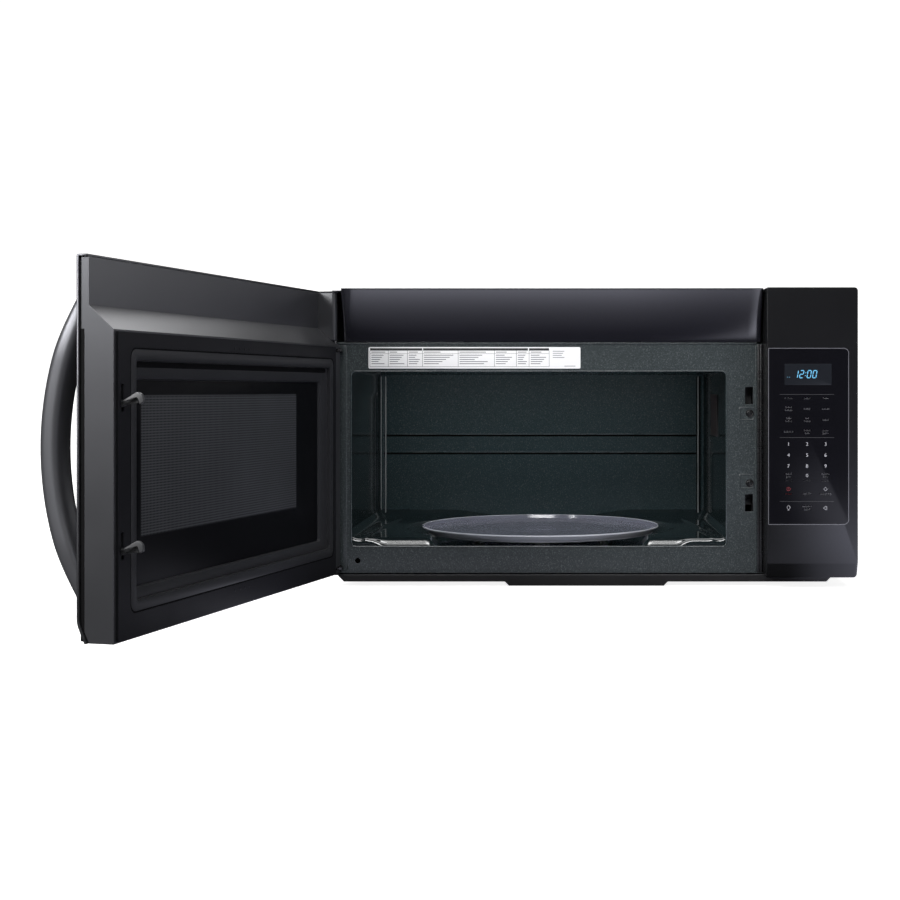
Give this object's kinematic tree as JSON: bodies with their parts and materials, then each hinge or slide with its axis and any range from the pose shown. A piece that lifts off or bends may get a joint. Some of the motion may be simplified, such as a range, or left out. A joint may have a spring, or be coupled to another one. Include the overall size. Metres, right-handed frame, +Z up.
{
  "type": "over-the-range microwave oven",
  "caption": "Over-the-range microwave oven with exhaust vent, side-hinged door standing open, glass turntable and touch control panel.",
  "frame": {"origin": "middle of the wall plate's rear face, at half the height of the case", "axes": "+X to the right as seen from the kitchen, +Y into the wall, +Z up; the open door swings to -Y at the left"},
  "size_m": [0.9815, 0.9974, 0.4529],
  "materials": {
    "dark_metal": "satin dark coated steel",
    "case_paint": "satin black paint",
    "galvanised": "zinc coated sheet",
    "plated_steel": "zinc plated",
    "fleck_enamel": "grey flecked enamel",
    "vent_gloss": "gloss dark grey",
    "black_plastic": "fine grain black",
    "door_gloss": "dark glass front",
    "panel_gloss": "black touch glass",
    "display_gloss": "dark display window",
    "tray_glass": "clear pressed glass",
    "pane_glass": "clear sheet",
    "lens_glass": "frosted",
    "screen_black": "black perforated sheet",
    "white_plastic": "fine grain",
    "mica": "dull mineral sheet",
    "filter_metal": "woven mesh in a folded frame",
    "charcoal": "granulate in a frame",
    "core_steel": "varnished laminations",
    "can_aluminium": "drawn can",
    "circuit_board": "lacquered board",
    "label_paper": "white film label"
  },
  "bodies": {
    "body": {"wall_plate": "galvanised", "rear_panel": "galvanised", "outer_case": "case_paint", "cord_bush": "black_plastic", "base_plate": "galvanised", "base_pan": "case_paint", "cooktop_lamp": "white_plastic", "front_plate": "fleck_enamel", "cavity_wrapper": "fleck_enamel", "cavity_back": "fleck_enamel", "cavity_floor": "fleck_enamel", "waveguide": "galvanised", "waveguide_cover": "mica", "cavity_lamp": "white_plastic", "turntable_motor": "plated_steel", "vent_grille": "vent_gloss", "charcoal_filter": "charcoal", "blower_housing": "galvanised", "blower_motor": "plated_steel", "exhaust_adaptor": "galvanised", "magnetron": "plated_steel", "transformer": "core_steel", "capacitor": "can_aluminium", "cooling_fan_motor": "plated_steel", "panel_housing": "dark_metal", "touch_glass": "panel_gloss", "display_window": "display_gloss", "control_board": "circuit_board", "latch_body": "white_plastic", "door_switch_upper": "black_plastic", "door_switch_middle": "black_plastic", "door_switch_lower": "black_plastic", "latch_screw_upper": "plated_steel", "latch_screw_lower": "plated_steel", "hinge_bracket_upper": "plated_steel", "hinge_bracket_lower": "plated_steel", "guide_label": "label_paper"},
    "door": {"door_skin": "dark_metal", "door_glass": "door_gloss", "door_frame": "black_plastic", "choke_cover": "black_plastic", "mesh_screen": "screen_black", "inner_pane": "pane_glass", "handle": "dark_metal", "latch_spring": "plated_steel"},
    "hook_bar": {"latch_key": "black_plastic"},
    "lever": {"interlock_lever": "white_plastic"},
    "coupler": {"turntable_coupler": "white_plastic"},
    "tray": {"glass_tray": "tray_glass"},
    "ring": {"roller_ring": "white_plastic"},
    "wheel_1": {"roller_1": "white_plastic"},
    "wheel_2": {"roller_2": "white_plastic"},
    "wheel_3": {"roller_3": "white_plastic"},
    "cooling_fan": {"cooling_fan_blade": "black_plastic"},
    "blower_rotor": {"blower_wheel_left": "galvanised", "blower_wheel_right": "galvanised"},
    "damper": {"damper_flap": "galvanised"},
    "filter_left": {"grease_filter_left": "filter_metal"},
    "filter_right": {"grease_filter_right": "filter_metal"},
    "lamp_door": {"cooktop_lamp_cover": "lens_glass"}
  },
  "joints": [
    {"name": "door_swing", "type": "hinge", "parent": "body", "child": "door", "pos_m": [-0.3735, -0.3955, 0], "axis": [0, 0, 1], "range_deg": [-5, 103.7]},
    {"name": "latch_lift", "type": "slide", "parent": "door", "child": "hook_bar", "axis": [0, 0, 1], "range_m": [0, 0.0045], "stiffness_N_per_m": 400, "springref_m": -0.005, "deforming": ["latch_spring"]},
    {"name": "lever_rock", "type": "hinge", "parent": "body", "child": "lever", "pos_m": [0.22955, -0.3565, -0.06825], "axis": [1, 0, 0], "range_deg": [0, 5], "stiffness_Nm_per_rad": 0.05, "springref_deg": -5.73},
    {"name": "turntable_spin", "type": "hinge", "parent": "body", "child": "coupler", "pos_m": [-0.07735, -0.19475, 0], "axis": [0, 0, 1], "continuous": true},
    {"name": "tray_lift", "type": "slide", "parent": "coupler", "child": "tray", "axis": [0, 0, 1], "range_m": [0, 0.06]},
    {"name": "ring_spin", "type": "hinge", "parent": "body", "child": "ring", "pos_m": [-0.07735, -0.19475, 0], "axis": [0, 0, 1], "continuous": true},
    {"name": "roller_1_spin", "type": "hinge", "parent": "ring", "child": "wheel_1", "pos_m": [-0.07735, -0.08275, -0.1686], "axis": [0, 1, 0], "continuous": true},
    {"name": "roller_2_spin", "type": "hinge", "parent": "ring", "child": "wheel_2", "pos_m": [-0.17434, -0.25075, -0.1686], "axis": [-0.866, -0.5, 0], "continuous": true},
    {"name": "roller_3_spin", "type": "hinge", "parent": "ring", "child": "wheel_3", "pos_m": [0.01964, -0.25075, -0.1686], "axis": [0.866, -0.5, 0], "continuous": true},
    {"name": "cooling_fan_spin", "type": "hinge", "parent": "body", "child": "cooling_fan", "pos_m": [0.2871, -0.0548, 0.02185], "axis": [0, 1, 0], "continuous": true},
    {"name": "blower_spin", "type": "hinge", "parent": "body", "child": "blower_rotor", "pos_m": [0, -0.06925, 0.1493], "axis": [1, 0, 0], "continuous": true},
    {"name": "damper_swing", "type": "hinge", "parent": "body", "child": "damper", "pos_m": [0, -0.0327, 0.21525], "axis": [-1, 0, 0], "range_deg": [0, 70]},
    {"name": "filter_left_tilt", "type": "hinge", "parent": "body", "child": "filter_left", "pos_m": [-0.272, -0.061, -0.21775], "axis": [1, 0, 0], "range_deg": [0, 25]},
    {"name": "filter_right_tilt", "type": "hinge", "parent": "body", "child": "filter_right", "pos_m": [0.2525, -0.061, -0.21775], "axis": [1, 0, 0], "range_deg": [0, 25]},
    {"name": "lamp_cover_swing", "type": "hinge", "parent": "body", "child": "lamp_door", "pos_m": [-0.008, -0.289, -0.22375], "axis": [1, 0, 0], "range_deg": [0, 85]}
  ],
  "couplings": [
    {"joint": "ring_spin", "follows": "turntable_spin", "ratio": 0.5},
    {"joint": "roller_1_spin", "follows": "turntable_spin", "ratio": -9.3333},
    {"joint": "roller_2_spin", "follows": "turntable_spin", "ratio": -9.3333},
    {"joint": "roller_3_spin", "follows": "turntable_spin", "ratio": -9.3333}
  ]
}
